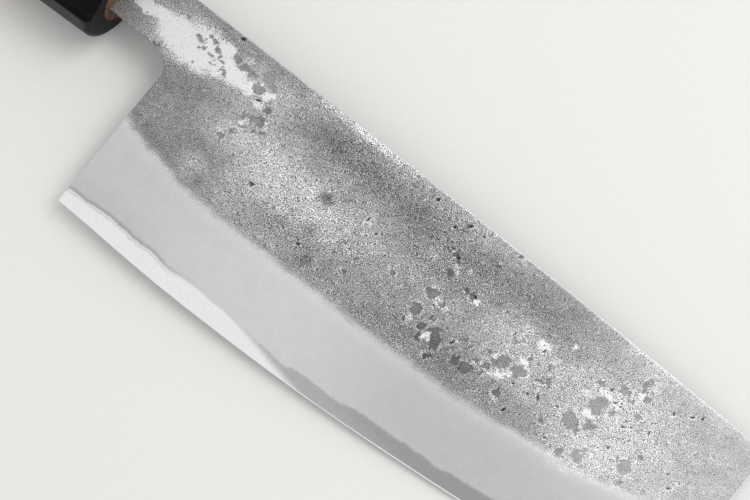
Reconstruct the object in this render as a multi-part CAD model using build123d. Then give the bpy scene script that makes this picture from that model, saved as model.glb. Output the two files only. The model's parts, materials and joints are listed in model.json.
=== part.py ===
from build123d import *
import os
from math import acos, atan2, cos, degrees, radians, sin

# A nakiri, a flat-fronted vegetable knife, lying on its left side with its tip towards +X.
# The pieces are made in the blade's own frame first: x runs from the heel corner to the tip,
# y from the edge up to the spine, and z across the blade, with zero in its middle plane.
# The last step lays the finished knife down as it rests on a table. Sizes are in millimetres.

# Blade outline
blade_length = 165.0
spine_height = 54.5
spine_crown = 0.9
neck_length = 16.4
neck_height = 13.75
heel_lean = 1.4
heel_fillet = 6.0
toe_radius = 9.0
spine_tip_radius = 5.0

# Blade thickness, and the layers that are forge-welded into it
neck_thickness = 3.4
tip_thickness = 1.7
edge_thickness = 0.2
core_thickness_share = 0.275

# Edge and grind line from the heel to the tip: each station's place as a share of the blade's
# length, then the height of the edge and of the grind line as shares of the spine's height
bevel_station_shares = [
    (0.0, 0.0, 0.455),
    (0.06, -0.009, 0.390),
    (0.14, -0.023, 0.352),
    (0.26, -0.030, 0.344),
    (0.40, -0.0245, 0.349),
    (0.55, -0.001, 0.366),
    (0.70, 0.035, 0.393),
    (0.85, 0.084, 0.456),
    (1.0, 0.146, 0.541),
]

# Tang, hidden in the handle
tang_length = 92.0
tang_root_height = 9.0
tang_end_height = 5.5
tang_end_thickness = 2.0
tang_side_gap = 0.7
tang_end_gap = 3.0

# Handle with its horn ferrule: an upright oval with one ridge, low on the right side
handle_axis_drop = 8.6
ferrule_length = 26.0
ferrule_front_height = 25.4
ferrule_front_thickness = 21.6
ferrule_back_height = 27.2
ferrule_back_thickness = 22.8
ferrule_rim_radius = 1.6
grip_length = 106.0
butt_height = 28.6
butt_thickness = 23.8
butt_rim_radius = 2.4
tenon_height = 14.4
tenon_thickness = 13.8
ridge_angle = 39.0
ridge_reach_share = 1.10
ridge_radius = 1.2

# How the knife comes to rest, balanced on the ferrule's front rim and the toe: rolled towards
# its edge by this many degrees, and tipped forward until both touch, found in a few steps
rest_roll = 4.2
rest_steps = 4

# Every cutting shape runs past what it cuts by this much
overrun = 1.0

neck_end_x = -neck_length
handle_axis_height = spine_height - handle_axis_drop
tang_end_x = neck_end_x - tang_length
ferrule_back_x = neck_end_x - ferrule_length
butt_x = ferrule_back_x - grip_length


def half_thickness(x):
    """Half the blade's thickness at x, on its flat sides above the bevel."""
    along = (x - neck_end_x) / (blade_length - neck_end_x)
    return (neck_thickness + (tip_thickness - neck_thickness) * along) / 2


def blade_outline():
    """The blade with its neck and tang, seen from the side."""
    neck_base = spine_height - neck_height
    edge_points = [(along * blade_length, edge * spine_height) for along, edge, _ in bevel_station_shares]
    spine_middle = ((neck_end_x + blade_length) / 2, spine_height + spine_crown)
    neck_top = (neck_end_x, spine_height)
    spine_tip = (blade_length, spine_height)
    tang_root = tang_root_height / 2
    tang_end = tang_end_height / 2
    spine = ThreePointArc(neck_top, spine_middle, spine_tip)
    edge = Spline(*edge_points)
    front = Line(spine_tip, edge_points[-1])
    back = Polyline(
        edge_points[0],
        (heel_lean, neck_base),
        (neck_end_x, neck_base),
        (neck_end_x, handle_axis_height - tang_root),
        (tang_end_x, handle_axis_height - tang_end),
        (tang_end_x, handle_axis_height + tang_end),
        (neck_end_x, handle_axis_height + tang_root),
        neck_top,
    )
    outline = make_face([spine, edge, front, back])
    for corner, radius in (
        ((heel_lean, neck_base), heel_fillet),
        (edge_points[-1], toe_radius),
        (spine_tip, spine_tip_radius),
    ):
        outline = fillet(outline.vertices().sort_by_distance(corner)[0], radius)
    return outline


def thickness_wedge(share):
    """A slab as wide as the whole blade that tapers to the tip and to the tang's end.

    A share of one is the full thickness, and a smaller share is a layer inside it.
    """
    back_x = tang_end_x - overrun
    front_x = blade_length + overrun
    upper = [
        (back_x, tang_end_thickness / 2 * share),
        (neck_end_x, half_thickness(neck_end_x) * share),
        (front_x, half_thickness(front_x) * share),
    ]
    lower = [(x, -z) for x, z in reversed(upper)]
    profile = Plane.XZ * make_face(Polyline(*upper, *lower, close=True))
    return extrude(profile, amount=2 * spine_height, both=True)


def bevel_cutter():
    """What the grinder takes off the right side between the grind line and the edge."""
    sections = []
    roof = neck_thickness
    for along, edge, grind in bevel_station_shares:
        past_end = {0.0: -overrun, 1.0: overrun}.get(along, 0.0)
        x = along * blade_length
        edge_y = edge * spine_height
        grind_y = grind * spine_height
        slope = (half_thickness(x) - edge_thickness / 2) / (grind_y - edge_y)
        corners = [
            (edge_y - overrun, edge_thickness / 2 - slope * overrun),
            (grind_y + overrun, half_thickness(x) + slope * overrun),
            (grind_y + overrun, roof),
            (edge_y - overrun, roof),
        ]
        section = make_face(Polyline(*corners, close=True))
        sections.append(Plane.YZ.offset(x + past_end) * section)
    return loft(sections)


def blade_layers():
    """The hard core and the two soft iron sides of the blade."""
    right_cutter = bevel_cutter()
    left_cutter = mirror(right_cutter, about=Plane.XY)
    plate = extrude(blade_outline(), amount=neck_thickness, both=True)
    core_slab = thickness_wedge(core_thickness_share)
    core = (plate & core_slab) - right_cutter - left_cutter
    sides = (plate & thickness_wedge(1)) - core_slab - right_cutter - left_cutter
    left, right = sides.solids().sort_by(Axis.Z)
    return core, left, right


def handle_section(x, height, thickness):
    """The handle's section at x: an oval with a ridge drawn out of its lower right side."""
    ridge_at = 180 - ridge_angle
    spread = degrees(acos(1 / ridge_reach_share))
    ridge = (
        height / 2 * ridge_reach_share * cos(radians(ridge_at)),
        thickness / 2 * ridge_reach_share * sin(radians(ridge_at)),
    )
    oval = EllipticalCenterArc(
        (0, 0), height / 2, thickness / 2, start_angle=ridge_at + spread, arc_size=360 - 2 * spread
    )
    section = make_face([oval, Polyline(oval @ 1, ridge, oval @ 0)])
    section = fillet(section.vertices().sort_by_distance(ridge)[0], ridge_radius)
    return Plane((x, handle_axis_height, 0), x_dir=(0, 1, 0), z_dir=(1, 0, 0)) * section


def tenon(length_past_front):
    """The oval tenon that fills the ferrule's bore, out of the front by the length given."""
    oval = Ellipse(tenon_height / 2, tenon_thickness / 2)
    placed = Plane((ferrule_back_x, handle_axis_height, 0), x_dir=(0, 1, 0), z_dir=(1, 0, 0)) * oval
    return extrude(placed, amount=ferrule_length + length_past_front)


def round_rim(solid, x, radius):
    """Rounds the outer rim of the end face at x."""
    end_face = solid.faces().sort_by_distance((x, handle_axis_height, 0))[0]
    return fillet(end_face.outer_wire().edges(), radius)


def ferrule():
    """The horn collar, bored for the tenon, with a rounded front rim."""
    front = handle_section(neck_end_x, ferrule_front_height, ferrule_front_thickness)
    back = handle_section(ferrule_back_x, ferrule_back_height, ferrule_back_thickness)
    collar = round_rim(loft([back, front], ruled=True), neck_end_x, ferrule_rim_radius)
    return collar - tenon(overrun)


def tang_slot(past_front):
    """The slot that is burnt into the handle for the tang."""
    depth = tang_length + tang_end_gap
    height = tang_root_height + 2 * tang_side_gap
    width = neck_thickness + 2 * tang_side_gap
    middle_x = neck_end_x + (past_front - depth) / 2
    return Pos(middle_x, handle_axis_height, 0) * Box(depth + past_front, height, width)


def handle():
    """The wooden grip in one piece with its tenon, slotted for the tang."""
    front = handle_section(ferrule_back_x, ferrule_back_height, ferrule_back_thickness)
    butt = handle_section(butt_x, butt_height, butt_thickness)
    grip = round_rim(loft([butt, front], ruled=True), butt_x, butt_rim_radius)
    return grip + tenon(0) - tang_slot(overrun)


def tang_packing(blade_pieces):
    """The resin that fills the slot round the tang."""
    packing = tang_slot(0)
    for piece in blade_pieces:
        packing -= piece
    return packing


def rest_tilt(pieces):
    """The turn that lays the knife down with its ferrule and its toe on the same level."""
    pitch = 0
    for _ in range(rest_steps):
        tilt = Rot(0, pitch, 0) * Rot(rest_roll, 0, 0)
        rim_z = (tilt * pieces["ferrule"]).bounding_box().min.Z
        toe_z = (tilt * pieces["blade_core"]).bounding_box().min.Z
        pitch += degrees(atan2(toe_z - rim_z, blade_length - neck_end_x))
    return Rot(0, pitch, 0) * Rot(rest_roll, 0, 0)


def lay_down(pieces):
    """Lays the knife on its left side and sets the middle of its footprint at the origin."""
    tilt = rest_tilt(pieces)
    turned = {name: tilt * piece for name, piece in pieces.items()}
    box = Compound(turned.values()).bounding_box()
    home = Pos(-box.center().X, -box.center().Y, -box.min.Z)
    return {name: home * piece for name, piece in turned.items()}


def build():
    """All pieces of the knife, by name, at rest on the table."""
    core, left, right = blade_layers()
    return lay_down(
        {
            "blade_core": core,
            "left_cladding": left,
            "right_cladding": right,
            "ferrule": ferrule(),
            "handle": handle(),
            "tang_packing": tang_packing([core, left, right]),
        }
    )


os.makedirs("parts", exist_ok=True)
for name, piece in build().items():
    export_step(piece, f"parts/{name}.step")
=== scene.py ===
# %% [markdown]
# # A nakiri lying on a table
# A nakiri is a Japanese knife for vegetables. A hard steel core is forge-welded between two
# sides of soft iron. The smith leaves the upper part as it came from the fire and the hammer,
# and grinds a broad smooth bevel below it. The tang goes into a handle of magnolia wood with a
# collar of black horn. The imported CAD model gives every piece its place, so this file loads it
# first, and nothing after that is moved or fitted by eye.

import json
import math
import random

import bmesh
import bpy
import numpy as np
from mathutils import Euler, Matrix, Vector, noise


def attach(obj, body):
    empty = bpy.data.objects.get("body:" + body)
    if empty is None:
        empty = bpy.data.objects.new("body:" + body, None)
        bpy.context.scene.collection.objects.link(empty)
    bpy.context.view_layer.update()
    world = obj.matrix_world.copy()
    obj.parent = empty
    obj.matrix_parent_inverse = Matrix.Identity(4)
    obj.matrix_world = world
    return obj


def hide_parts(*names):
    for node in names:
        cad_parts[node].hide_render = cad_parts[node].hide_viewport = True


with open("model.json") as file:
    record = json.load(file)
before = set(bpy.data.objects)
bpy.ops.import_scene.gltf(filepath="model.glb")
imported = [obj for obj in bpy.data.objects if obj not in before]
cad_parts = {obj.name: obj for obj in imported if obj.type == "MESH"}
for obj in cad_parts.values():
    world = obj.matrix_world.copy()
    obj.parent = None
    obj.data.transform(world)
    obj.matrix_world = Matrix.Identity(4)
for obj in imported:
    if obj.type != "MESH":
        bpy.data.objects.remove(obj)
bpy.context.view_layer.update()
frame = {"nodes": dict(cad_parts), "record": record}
nodes = frame["nodes"]
MM = 0.001
print("pieces of the frame:", ", ".join(sorted(nodes)))

# %% [markdown]
# ## The blade's own axes
# The knife doesn't lie level: it rests on the collar and on the toe of its edge. A blade is
# easier to think about with x along it from the heel, y from the edge up to the spine, and z
# out of its side. The record's two mounts sit in the middle of the two flat sides, so their
# places and directions give those axes without any guess.

# %% Turn the blade's millimetres into places in the frame
MOUNT_ALONG, MOUNT_UP = 73.8, 38.0
mounts = {mount["name"]: mount for mount in frame["record"]["mounts"]}
right_way, left_way = (Vector(mounts[side]["axis"]) for side in ("right_side", "left_side"))
right_spot, left_spot = (Vector(mounts[side]["pos_m"]) for side in ("right_side", "left_side"))
blade_middle = (right_spot + left_spot) / 2
across = (right_way - left_way).normalized()
along = Vector((across.z, 0, -across.x)).normalized()
upward = across.cross(along)
blade_turn = Matrix((along, upward, across)).transposed().to_4x4()
blade_place = (
    Matrix.Translation(blade_middle)
    @ blade_turn
    @ Matrix.Scale(MM, 4)
    @ Matrix.Translation((-MOUNT_ALONG, -MOUNT_UP, 0))
)
print("heel corner at", [round(value, 4) for value in blade_place @ Vector((0, 0, 0))])

# %% [markdown]
# ## The camera
# The photograph looks almost straight down on the blade from its right side, turned so that
# the blade runs from the upper left to the lower right. The camera comes first because the
# marks on the forged skin are placed by where they are seen in the picture.

# %% Set up the camera
CAMERA_FROM_BLADE = (-0.01126, -0.01679, 0.19410)
CAMERA_TURN = (3.183, -2.640, 37.939)
CAMERA_LENS = 40.862
CAMERA_NEAREST = 0.01
SENSOR_WIDTH = 36.0
PICTURE_WIDTH, PICTURE_HEIGHT = 750, 500

camera = bpy.data.objects.new("camera", bpy.data.cameras.new("camera"))
bpy.context.scene.collection.objects.link(camera)
camera.location = blade_middle + Vector(CAMERA_FROM_BLADE)
camera.rotation_euler = Euler([math.radians(angle) for angle in CAMERA_TURN])
camera.data.lens = CAMERA_LENS
camera.data.sensor_width = SENSOR_WIDTH
camera.data.clip_start = CAMERA_NEAREST
bpy.context.scene.camera = camera
bpy.context.view_layer.update()
print("camera is", round(camera.location.z, 3), "m above the table")

# %% [markdown]
# ## The lines of the blade
# Five lines describe a side: spine, edge, grind line, heel and front. The CAD model gives the
# edge and the grind line as heights at nine stations. A line through them has to bend smoothly,
# or the light would break on it, so each stretch is a cubic curve.

# %% Edge and grind line, in the blade's millimetres
BLADE_LENGTH = 165.0
SPINE_HEIGHT = 54.5
STATIONS = (
    # share of the length, height of the edge, height of the grind line
    (0.0, 0.0, 0.455), (0.06, -0.009, 0.390), (0.14, -0.023, 0.352), (0.26, -0.030, 0.344),
    (0.40, -0.0245, 0.349), (0.55, -0.001, 0.366), (0.70, 0.035, 0.393), (0.85, 0.084, 0.456),
    (1.0, 0.146, 0.541),
)


def smooth_line(points):
    """A function of x that runs smoothly through the points, for numbers and for arrays."""
    xs, ys = (np.array(values, float) for values in zip(*points))
    slopes = np.gradient(ys, xs)

    def line(x):
        x = np.clip(x, xs[0], xs[-1])
        i = np.clip(np.searchsorted(xs, x) - 1, 0, len(xs) - 2)
        gap = xs[i + 1] - xs[i]
        t = (x - xs[i]) / gap
        rise = ys[i + 1] - ys[i]
        bend_in, bend_out = slopes[i] * gap - rise, rise - slopes[i + 1] * gap
        return ys[i] + t * rise + t * (1 - t) * ((1 - t) * bend_in + t * bend_out)

    return line


edge_up, grind_up = (
    smooth_line([(station[0] * BLADE_LENGTH, station[column] * SPINE_HEIGHT) for station in STATIONS])
    for column in (1, 2)
)
print("the bevel is", round(float(grind_up(80) - edge_up(80)), 1), "mm tall in the middle")

# %% [markdown]
# The spine is one long arc. The blade thins evenly from the neck to the front, as a forged one
# does, and the core has the same share of the thickness everywhere.

# %% Spine, thickness and the finished side
SPINE_CROWN = 0.9
NECK_LENGTH = 16.4
NECK_HALF, TIP_HALF, EDGE_HALF = 1.7, 0.85, 0.1
CORE_SHARE = 0.275


def spine_up(x):
    """Height of the spine's long arc over x."""
    half = (BLADE_LENGTH + NECK_LENGTH) / 2
    from_middle = (np.asarray(x) + NECK_LENGTH) / half - 1
    return SPINE_HEIGHT + SPINE_CROWN * (1 - from_middle**2)


def half_thickness(x):
    """Half the blade's thickness over the flat of its sides."""
    share = (np.asarray(x) + NECK_LENGTH) / (BLADE_LENGTH + NECK_LENGTH)
    return NECK_HALF + (TIP_HALF - NECK_HALF) * share


def ground_side(x, y):
    """Height of the finished side over the blade's middle plane: flat, then bevelled."""
    grind, edge = grind_up(x), edge_up(x)
    bevel = EDGE_HALF + (half_thickness(x) - EDGE_HALF) * (y - edge) / (grind - edge)
    return np.minimum(half_thickness(x), bevel)


print("over the heel the spine is", round(float(spine_up(0)), 2), "mm up")
print("and the blade is", round(2 * float(half_thickness(0)), 2), "mm thick")

# %% [markdown]
# The heel is straight and turns into the neck with a fillet, where a forefinger rests. The
# front is straight too, with a rounded toe below and a smaller corner at the spine.

# %% Back and front borders
NECK_BASE = 40.75
HEEL_LEAN, HEEL_FILLET = 1.4, 6.0
TOE_RADIUS, TIP_RADIUS = 9.0, 5.0


def heel_line(y):
    """x of the blade's back border, from the heel up round the fillet to the neck."""
    straight = HEEL_LEAN * y / NECK_BASE
    centre = HEEL_LEAN - HEEL_FILLET
    rise = np.clip(y - (NECK_BASE - HEEL_FILLET), 0, HEEL_FILLET)
    return np.minimum(straight, centre + np.sqrt(HEEL_FILLET**2 - rise**2))


def front_line(y):
    """x of the blade's front border, with the toe's curve and the corner at the spine."""
    toe_centre = edge_up(BLADE_LENGTH) + TOE_RADIUS
    low = np.clip(toe_centre - y, 0, TOE_RADIUS)
    high = np.clip(y - (SPINE_HEIGHT - TIP_RADIUS), 0, TIP_RADIUS)
    toe_cut = TOE_RADIUS - np.sqrt(TOE_RADIUS**2 - low**2)
    corner_cut = TIP_RADIUS - np.sqrt(TIP_RADIUS**2 - high**2)
    return BLADE_LENGTH - toe_cut - corner_cut


print("the front border is at", round(float(front_line(30)), 1), "mm in its straight middle")

# %% [markdown]
# ## Reading places off the photograph
# A mark's place was noted with a ruler laid along the spine in the picture: millimetres along
# from the heel corner, and up. A ray from the camera through it meets the blade where the mark
# really is, although the blade isn't square to the camera.

# %% Send a ray from the picture to the blade
RULER_HEEL = (59.5, 196.5)
RULER_TURN = math.radians(38.9)
RULER_PIXELS_PER_MM = 715 / 165
PIXELS_OF_LENS = CAMERA_LENS / SENSOR_WIDTH * PICTURE_WIDTH
to_blade = blade_place.inverted()


def seen_at(ruler_along, ruler_up, height=None):
    """The blade's x and y under a place read off the photograph."""
    cos, sin = math.cos(RULER_TURN), math.sin(RULER_TURN)
    right = RULER_HEEL[0] + RULER_PIXELS_PER_MM * (ruler_along * cos + ruler_up * sin)
    down = RULER_HEEL[1] + RULER_PIXELS_PER_MM * (ruler_along * sin - ruler_up * cos)
    ray = Vector((right - PICTURE_WIDTH / 2, PICTURE_HEIGHT / 2 - down, -PIXELS_OF_LENS))
    eye = to_blade @ camera.matrix_world.translation
    way = to_blade.to_3x3() @ (camera.matrix_world.to_3x3() @ ray)
    level = float(half_thickness(ruler_along)) if height is None else height
    hit = eye + way * ((level - eye.z) / way.z)
    return hit.x, hit.y


print("a mark at 80, 40 on the ruler is at", [round(value, 1) for value in seen_at(80, 40)], "mm")

# %% [markdown]
# ## The seam and the real grind line
# At the seam the grinding comes through the soft iron and lays the steel bare. It wanders,
# because the welded layers were hammered, and so does the grind line. Both were read off the
# photograph point by point. Past its border a few guessed points continue them.

# %% Read the two wandering lines
SEAM_SEEN = (
    (0.5, 3.0), (5, 3.2), (8, 3.4), (12, 3.7), (16, 3.6), (20, 3.2), (25, 3.5), (29.5, 2.8),
    (35, 3.5), (40, 3.3), (50, 3.0), (58, 2.5), (65, 2.2), (69, 3.2), (75, 3.4), (80, 3.5),
    (84, 4.6), (90, 5.0), (95, 5.2), (98, 5.8), (100, 5.6), (103, 6.1), (107, 6.0), (110, 6.8),
    (115, 7.5),
)
SEAM_UNSEEN = [(135.0, 8.6), (150.0, 10.2), (164.0, 11.9)]
SEAM_HEIGHT = 0.35
GRIND_SEEN = (
    (0.5, 24.4), (3, 23), (8, 21.5), (12, 21), (15, 20.5), (20, 19.3), (28, 18.9), (40, 19.0),
    (60, 19.4), (80, 19.8), (90, 20.5), (100, 20.9), (110, 22.1), (120, 23.7), (130, 24.4),
    (135, 25.3), (140, 26.8), (145, 28.3),
)
GRIND_UNSEEN = [(155.0, 29.2), (165.0, 31.0)]
GRIND_HEEL_RISE = 0.3
seam_points = [seen_at(*point, height=SEAM_HEIGHT) for point in SEAM_SEEN]
seam_up = smooth_line([(0.0, seam_points[0][1])] + seam_points[1:] + SEAM_UNSEEN)
grind_points = [seen_at(*point) for point in GRIND_SEEN]
grind_heel = (0.0, grind_points[0][1] + GRIND_HEEL_RISE)
grind_seen_up = smooth_line([grind_heel] + grind_points[1:] + GRIND_UNSEEN)
for x in (0, 40, 80, 120, 160):
    heights = [round(float(line(x)), 1) for line in (seam_up, grind_seen_up, grind_up)]
    print("at", x, "mm the seam, the grind line and the CAD's grind line are", heights, "mm up")

# %% [markdown]
# ## Marks on the forged skin
# Scale forms on hot iron and is hammered in. Where a piece of it fell off it leaves a shallow
# flake bed: darker, smoother, with a painted shade along its step and a pale broken rim, which
# is partly a painted highlight. Marks could be drawn by lot, but their places tell this knife
# from another. So each kind has its own list, in the ruler's millimetres: along, up, width,
# height, turn in degrees, and last how strong the mark is.

# %% Flake beds on the right side
FLAKE_BEDS = (
    (-4.8, 41.3, 2.2, 1.3, -21, 0.8), (20, 34.4, 1.7, 1.7, 0, 0.9), (20.3, 48, 2.9, 2.6, 0, 0.9),
    (21.5, 36.8, 2, 1.1, 39, 0.6), (21.9, 41.4, 2.4, 1.3, 29, 0.5), (22.8, 38.9, 2.4, 0.9, 29, 0.6),
    (24.7, 42.3, 3.5, 2.2, 39, 0.8), (24.8, 45.5, 2.4, 1.5, 29, 0.6),
    (25.3, 39.7, 1.8, 0.9, 39, 0.5), (27.3, 41, 2.6, 1.1, 39, 0.6), (31.5, 45, 1.3, 1.1, 39, 0.5),
    (32.7, 30, 1.1, 0.8, 39, 0.9), (49.7, 26, 1, 1.2, 39, 0.8), (54.3, 31.1, 1.3, 0.6, 39, 0.6),
    (59.5, 32.6, 1.1, 0.8, 39, 0.8), (61.9, 27.7, 1.2, 0.9, 19, 0.9),
    (62.3, 31.9, 1.1, 0.9, 39, 0.9), (71, 34.6, 1.1, 1.1, 0, 0.9), (78.2, 54.1, 1.5, 1.1, 59, 0.9),
    (79.5, 46.6, 2, 0.9, 14, 0.8), (80.2, 31.7, 2.9, 3.3, 39, 0.9), (81.1, 36.7, 3.3, 2.4, 19, 0.8),
    (81.2, 46, 1.1, 2, 39, 0.8), (81.3, 42.8, 2.2, 1.8, 39, 0.5), (83.5, 55.9, 1.1, 0.7, 39, 0.6),
    (83.8, 29.2, 1.8, 1.8, 0, 0.8), (84.6, 26.6, 1.3, 1.8, 39, 0.8), (84.6, 32.2, 1.1, 1.1, 0, 0.6),
    (84.6, 35.9, 1.8, 1.5, 39, 0.9), (85.6, 29.6, 1.3, 1.1, 39, 0.9),
    (86.8, 42.2, 1.8, 1.1, -1, 0.5), (87.3, 35.5, 1.1, 0.9, 39, 0.8), (88, 31.7, 0.9, 1.1, 39, 0.8),
    (88.1, 29, 2.2, 6, 35, 0.9), (88.6, 41.9, 1.3, 2, 39, 0.8), (89.1, 24.6, 2.4, 1.5, 19, 0.9),
    (89.2, 51.1, 2.2, 0.9, 19, 0.7), (91.7, 56.2, 1.3, 0.7, 1, 0.7), (93.8, 33.2, 0.9, 0.9, 0, 0.8),
    (94.7, 28, 1.8, 2.4, 64, 0.9), (95.4, 32.7, 1.1, 1.1, 0, 0.6), (97, 44, 1.1, 1.1, 0, 0.6),
    (97.6, 28.1, 3.5, 2.9, 39, 0.9), (98.5, 30.8, 1.1, 1.1, 0, 0.8), (99.4, 34.7, 2, 1.1, 39, 0.6),
    (99.9, 44.7, 1.3, 1.3, 0, 0.4), (101.1, 29.6, 1.1, 1, 0, 1), (101.2, 31.4, 2.2, 2, 0, 0.9),
    (103.2, 35.9, 1.3, 1.1, 39, 0.9), (103.2, 39.9, 1.8, 1.8, 0, 0.9),
    (103.4, 34.3, 4.2, 3.3, 49, 0.9), (104.1, 41.5, 1.5, 0.6, 59, 0.6),
    (104.1, 43.8, 0.9, 1.1, 39, 0.8), (105.6, 44.6, 0.9, 0.6, 39, 0.6),
    (107, 27.9, 2.2, 2.4, 0, 0.9), (107.4, 34.1, 1.5, 1.3, 39, 0.8), (107.8, 35.1, 4, 2.2, 27, 0.9),
    (108, 27.3, 1.3, 0.9, 39, 0.7), (108, 38.8, 1.5, 1.3, 39, 0.6), (108, 39.2, 0.7, 1.1, 39, 0.7),
    (109.7, 42.8, 0.9, 0.9, 0, 0.9), (112.8, 40.3, 1.8, 1.5, 39, 0.5),
    (113.3, 36.4, 1.4, 1.1, 39, 0.9), (114.8, 37.5, 1.7, 1.8, 0, 0.9),
    (119.1, 29.7, 2.4, 1.5, 39, 0.5), (122.8, 34.4, 2.4, 1.1, 39, 0.5),
    (123.1, 34.4, 3.1, 1.5, 39, 0.8), (124.3, 33.6, 4.2, 4, 0, 0.7),
    (124.6, 44.9, 2.1, 1.8, 39, 0.9), (126.2, 26.3, 2.9, 1.5, 39, 0.6), (126.7, 32.4, 2, 2, 0, 0.6),
    (126.8, 41, 4.9, 3.3, 39, 0.45), (127.4, 39.2, 2.6, 2, 39, 0.45),
    (128.6, 35.7, 3.3, 2, 39, 0.6), (129, 47.2, 0.9, 0.9, 0, 0.7), (130.1, 47.1, 2.9, 2, 19, 0.8),
    (130.2, 34.7, 1.3, 1.3, 0, 0.4), (130.5, 28.4, 2.9, 3.5, 39, 0.5),
    (130.9, 40.9, 1.3, 1.8, 39, 0.7), (131.1, 30.5, 1.3, 1.1, 39, 0.6),
    (132.5, 45.9, 2, 0.9, 39, 0.6), (132.7, 31.3, 1.8, 1.3, 39, 0.5), (133, 50.6, 1.5, 2.9, 4, 0.8),
    (133.4, 52.3, 1.8, 1.1, 69, 0.8), (135.2, 48.6, 2, 1.1, 39, 0.7),
    (135.6, 44.2, 1.8, 1.3, 39, 0.6), (136, 44.1, 1.8, 1.3, 39, 0.7),
    (138.2, 33.6, 0.7, 2, 39, 0.8), (140.5, 35.7, 1, 0.9, 0, 0.9), (140.6, 33.2, 3.5, 4, 0, 0.8),
    (141.8, 29.4, 2.4, 1.3, 74, 0.6), (142.4, 37.3, 2, 1.3, 39, 0.6),
    (144.8, 39.4, 0.9, 0.7, 39, 0.7), (147.6, 45.3, 0.9, 0.9, 0, 0.5),
    (151.6, 45.9, 0.9, 0.7, 39, 0.8), (154.5, 45.9, 1.1, 0.8, 39, 0.8),
    (154.6, 52.8, 1.8, 1.3, 39, 0.35), (155.5, 48.3, 0.8, 1.3, 39, 0.6),
)
print(len(FLAKE_BEDS), "flake beds")

# %% [markdown]
# Where the skin was rubbed it is bright. The largest such place is on the neck, where fingers
# rub it. Here the last number is the brightness, and 90 is full.

# %% Bright places on the right side
BRIGHT_SPOTS = (
    (6, 48.6, 13, 6.5, -14, 84), (12.5, 47.5, 10, 5, -8, 84), (-3, 46, 9, 6.5, -18, 88),
    (-11.4, 47.1, 7.5, 2.8, 1, 85), (-6.8, 47.7, 7.3, 3.3, 1, 88), (-1.8, 47.8, 7.3, 4.9, -6, 90),
    (1, 45.4, 7.3, 7.3, 0, 90), (5, 45, 8.8, 5.5, 9, 90), (8.6, 50.4, 5.7, 3.5, -1, 75),
    (9.2, 46.1, 8.8, 4.4, 9, 88), (13.7, 46.9, 7.3, 3.8, 4, 85), (14.2, 51.6, 3.5, 1.8, 19, 45),
    (17.3, 46.7, 5.7, 3.1, 4, 85), (18.4, 22.5, 0.9, 1.3, 39, 45), (18.7, 25, 1.3, 1.3, 0, 35),
    (18.8, 35.3, 2, 1.1, -1, 50), (21.3, 26, 2.6, 1.3, 39, 30), (22, 39.5, 4.9, 0.8, 39, 70),
    (22.7, 45.3, 2.9, 2, 9, 60), (23.1, 48.3, 3.3, 2.4, 39, 75), (26.5, 41.7, 3.3, 0.6, 39, 60),
    (26.6, 44.7, 2.4, 0.7, 9, 50), (28.2, 30.4, 1.5, 1.3, 39, 35), (33, 29.6, 1.8, 0.6, 39, 50),
    (49, 25.4, 0.6, 1.3, 39, 45), (50.2, 25.4, 1.3, 0.4, 39, 45), (58.5, 32.3, 1.1, 0.4, 39, 50),
    (59.2, 40.2, 1.5, 0.6, 39, 60), (62, 31.1, 1.1, 1.1, 0, 60), (62.1, 27.1, 1.3, 0.4, 39, 60),
    (62.5, 38.8, 0.9, 0.4, 39, 45), (69.8, 34.8, 1.5, 1.3, 39, 45), (76.2, 43.7, 1.8, 2, 0, 35),
    (78.6, 53.7, 1.5, 0.3, 39, 60), (78.9, 35.8, 1.8, 1.3, 39, 35), (80.2, 28.9, 2, 2.2, 0, 50),
    (82.2, 44.3, 2.4, 2.4, 0, 40), (83, 35.6, 1.3, 1.1, 39, 60), (84.9, 45.9, 1.3, 1.3, 0, 45),
    (85.5, 35.4, 2.6, 0.7, 19, 50), (85.9, 27.8, 2.4, 2, 39, 70), (86.6, 38.9, 2.2, 1.3, 39, 35),
    (90.2, 41.2, 1.5, 1.3, 39, 80), (99.6, 32.9, 2.6, 1.3, 39, 35), (104.6, 31.7, 6.2, 1.3, 39, 70),
    (105.1, 31.7, 5.7, 2.4, 39, 40), (107.3, 37.5, 1.3, 2.6, 79, 80),
    (108.6, 43.3, 2.6, 2.4, 0, 75), (108.8, 36.7, 2.6, 0.7, 9, 60), (109, 43.6, 2.4, 2, 39, 80),
    (113.1, 42.2, 2.6, 1.5, 39, 45), (114.4, 47.8, 1.1, 1.3, 39, 75), (119, 42.3, 0.9, 0.6, 39, 60),
    (122, 50.5, 1.3, 1.3, 0, 30), (122.9, 41, 2.6, 2, 39, 40), (123.4, 41.1, 2.6, 2, 39, 50),
    (124.3, 43.8, 0.9, 1.5, 39, 45), (125.3, 31, 2.2, 1.3, 39, 35), (126.2, 56.2, 4.4, 1.1, 1, 40),
    (126.4, 37.3, 4.2, 1.2, -1, 70), (126.4, 37.7, 4, 1.2, -1, 75), (127.3, 43.7, 4.2, 1.5, 4, 75),
    (129.1, 43.1, 1.3, 0.9, 39, 60), (130.2, 39.4, 1.3, 0.9, 39, 55),
    (130.2, 39.7, 2.2, 1.1, 39, 55), (131.2, 49.4, 1.8, 1.8, 0, 35),
    (132.3, 45.2, 1.3, 0.4, 39, 55), (132.6, 40.7, 1.1, 2.4, 39, 75),
    (133.6, 48.5, 2.4, 1.8, 84, 70), (134.2, 47.4, 1.8, 0.4, 39, 60),
    (135.2, 51.8, 2.4, 2.2, 0, 45), (137.6, 35.1, 1.3, 0.9, 39, 50),
    (138.4, 40.8, 1.8, 1.3, 39, 40), (142.3, 34.9, 1.8, 1.1, 39, 40),
    (145.4, 44.5, 1.1, 0.9, 39, 65), (156, 39, 2.2, 1.1, 39, 45),
)
print(len(BRIGHT_SPOTS), "bright places")

# %% [markdown]
# Inside the bright places, islands of the dark skin are left. Weaker blots lie all over the
# skin: where the last number is 35 or less, the blot is only a soft shade. Pits are
# small, deep and nearly black, and need no strength.

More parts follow.
